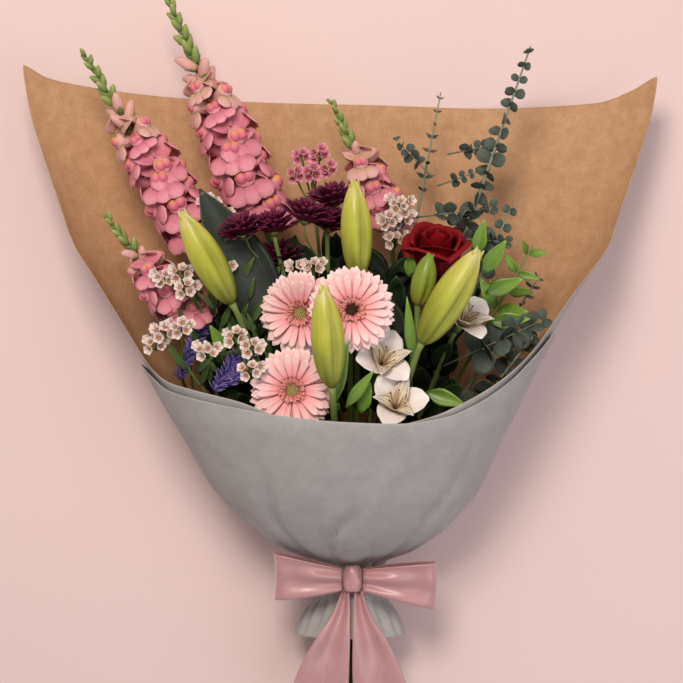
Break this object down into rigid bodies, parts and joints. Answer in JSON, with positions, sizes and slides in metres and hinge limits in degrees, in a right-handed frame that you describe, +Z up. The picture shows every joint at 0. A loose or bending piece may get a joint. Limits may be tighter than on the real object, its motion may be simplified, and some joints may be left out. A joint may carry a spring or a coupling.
{
  "type": "mixed flower bouquet",
  "caption": "Hand-tied mixed bouquet lying on its back: flowers, buds and eucalyptus in a cone of two paper sheets, bound with twine and closed with a satin bow.",
  "frame": {"origin": "middle of the back sheet's flat area, on the surface that the bouquet lies on", "axes": "+X across the bouquet to its right, +Y from the cut stem ends to the flower tips, +Z up from the surface"},
  "size_m": [0.6503, 0.7756, 0.2696],
  "materials": {
    "paper": "brown kraft paper, matt",
    "front_paper": "grey paper face, matt",
    "satin": "dusty pink satin, soft sheen",
    "twine": "jute twine",
    "snapdragon": "pink petals, green stem",
    "gerbera": "pale pink petals",
    "lily": "yellow-green closed buds",
    "rose": "dark red velvet petals",
    "alstroemeria": "white petals with dark stripes",
    "chrysanthemum": "burgundy petals",
    "spray": "small pink flowers",
    "waxflower": "cream waxy flowers",
    "statice": "violet papery flowers",
    "eucalyptus": "grey-green matt leaves",
    "ruscus": "bright green leaves",
    "leaf": "dark green leaves"
  },
  "bodies": {
    "root": {"back_sheet": "paper", "front_sheet": "front_paper", "ribbon_band": "satin", "bow_knot": "satin", "bow_loop_left": "satin", "bow_loop_right": "satin", "bow_tail_left": "satin", "bow_tail_right": "satin", "binding_twine": "twine", "snapdragon_tall": "snapdragon", "snapdragon_outer": "snapdragon", "snapdragon_short": "snapdragon", "snapdragon_back": "snapdragon", "gerbera_left": "gerbera", "gerbera_centre": "gerbera", "gerbera_front": "gerbera", "lily_left": "lily", "lily_back": "lily", "lily_front": "lily", "lily_right": "lily", "rose": "rose", "alstroemeria_upper": "alstroemeria", "alstroemeria_lower": "alstroemeria", "alstroemeria_right": "alstroemeria", "chrysanthemum_left": "chrysanthemum", "chrysanthemum_middle": "chrysanthemum", "pink_spray": "spray", "waxflower_back": "waxflower", "waxflower_left": "waxflower", "waxflower_low_left": "waxflower", "waxflower_right": "waxflower", "waxflower_middle": "waxflower", "waxflower_front": "waxflower", "statice_left": "statice", "statice_front": "statice", "eucalyptus_tall": "eucalyptus", "eucalyptus_thin": "eucalyptus", "eucalyptus_upper": "eucalyptus", "eucalyptus_side": "eucalyptus", "eucalyptus_round": "eucalyptus", "ruscus_right": "ruscus", "ruscus_left": "ruscus", "fern": "leaf", "filler_left": "leaf", "filler_middle": "leaf", "filler_right": "leaf", "dark_leaf": "leaf"}
  },
  "joints": []
}
